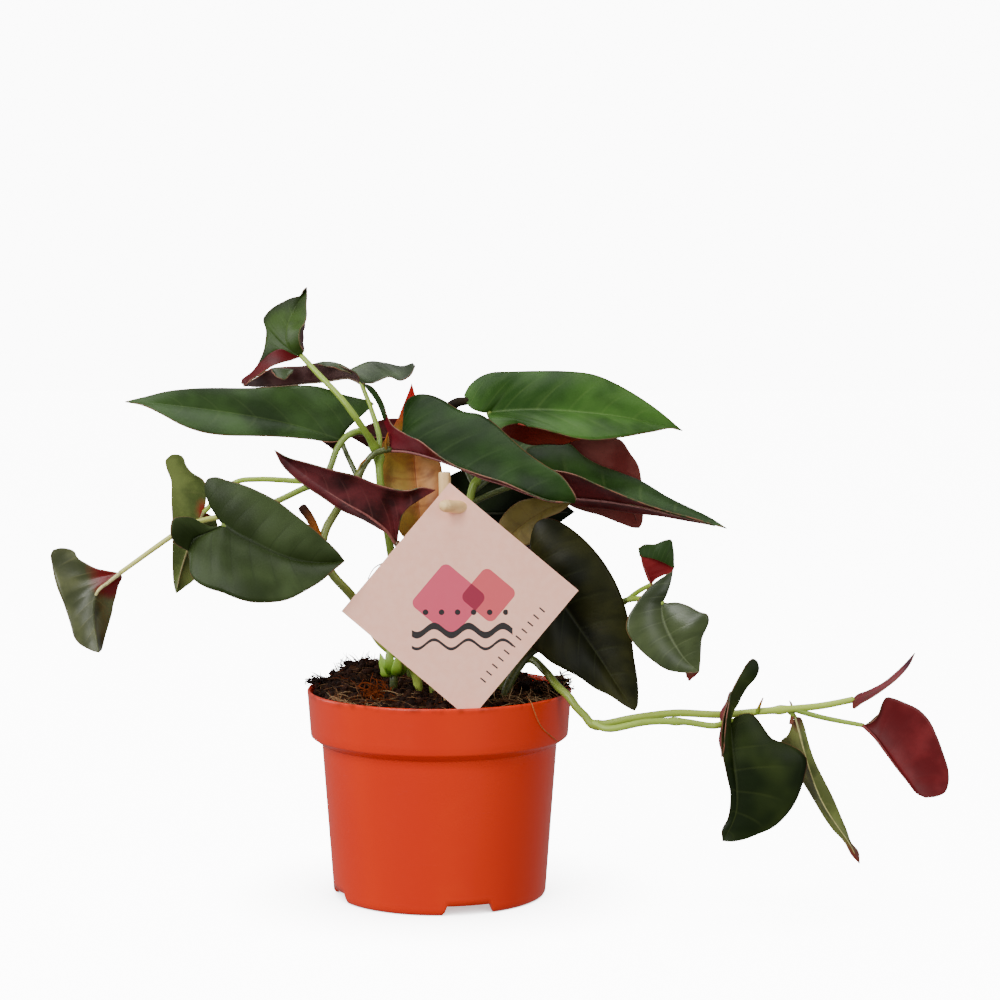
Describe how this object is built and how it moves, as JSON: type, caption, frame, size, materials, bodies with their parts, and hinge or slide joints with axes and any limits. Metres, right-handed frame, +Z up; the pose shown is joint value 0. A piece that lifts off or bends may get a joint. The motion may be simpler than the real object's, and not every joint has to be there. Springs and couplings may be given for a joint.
{
  "type": "potted syngonium",
  "caption": "Young arrowhead vine in a round orange nursery pot filled with peat, with two-coloured leaves, a long side runner and a square label card on a wooden stake.",
  "frame": {"origin": "centre of the pot's foot pad, on the surface that the pot stands on; the pot's axis is the Z axis", "axes": "+Z up along the pot's axis, -Y the front with the label card, +X the side of the long runner"},
  "size_m": [0.3965, 0.1819, 0.2763],
  "materials": {
    "pot": "semi-gloss orange terracotta colour",
    "soil": "moist dark peat with pale fibres",
    "card": "matte pale pink print",
    "wood": "bare pale birch",
    "stem": "smooth yellow-green",
    "sprout": "smooth bright green",
    "dry_sheath": "dry papery brown",
    "leaf_green": "waxy green over a burgundy underside",
    "leaf_bright": "waxy bright green",
    "leaf_dark": "glossy near-black green",
    "leaf_olive": "matte olive underside",
    "leaf_burgundy": "glossy burgundy underside",
    "leaf_red": "satin red underside",
    "leaf_bronze": "young translucent bronze"
  },
  "bodies": {
    "root": {"dry_sheath": "dry_sheath", "label_card": "card", "label_pin": "wood", "label_stake": "wood", "leaf_back_high": "leaf_green", "leaf_back_left": "leaf_green", "leaf_back_low": "leaf_green", "leaf_back_right": "leaf_green", "leaf_bronze": "leaf_bronze", "leaf_bronze_low": "leaf_bronze", "leaf_centre": "leaf_green", "leaf_far_left": "leaf_olive", "leaf_left_back": "leaf_burgundy", "leaf_left_burgundy": "leaf_burgundy", "leaf_left_edge": "leaf_olive", "leaf_left_heart": "leaf_green", "leaf_left_lance": "leaf_green", "leaf_right_back": "leaf_burgundy", "leaf_right_cup": "leaf_green", "leaf_right_dark": "leaf_dark", "leaf_right_lance": "leaf_green", "leaf_right_small": "leaf_green", "leaf_right_top": "leaf_bright", "leaf_runner_green": "leaf_green", "leaf_runner_pale": "leaf_olive", "leaf_runner_red": "leaf_red", "leaf_runner_slim": "leaf_red", "leaf_shade": "leaf_dark", "leaf_top_flat": "leaf_green", "leaf_top_fold": "leaf_green", "pot": "pot", "runner": "stem", "soil": "soil", "sprout": "sprout", "stem_back": "stem", "stem_centre": "stem", "stem_crown": "stem", "stem_left": "stem", "stem_low_right": "stem", "stem_right": "stem"}
  },
  "joints": []
}
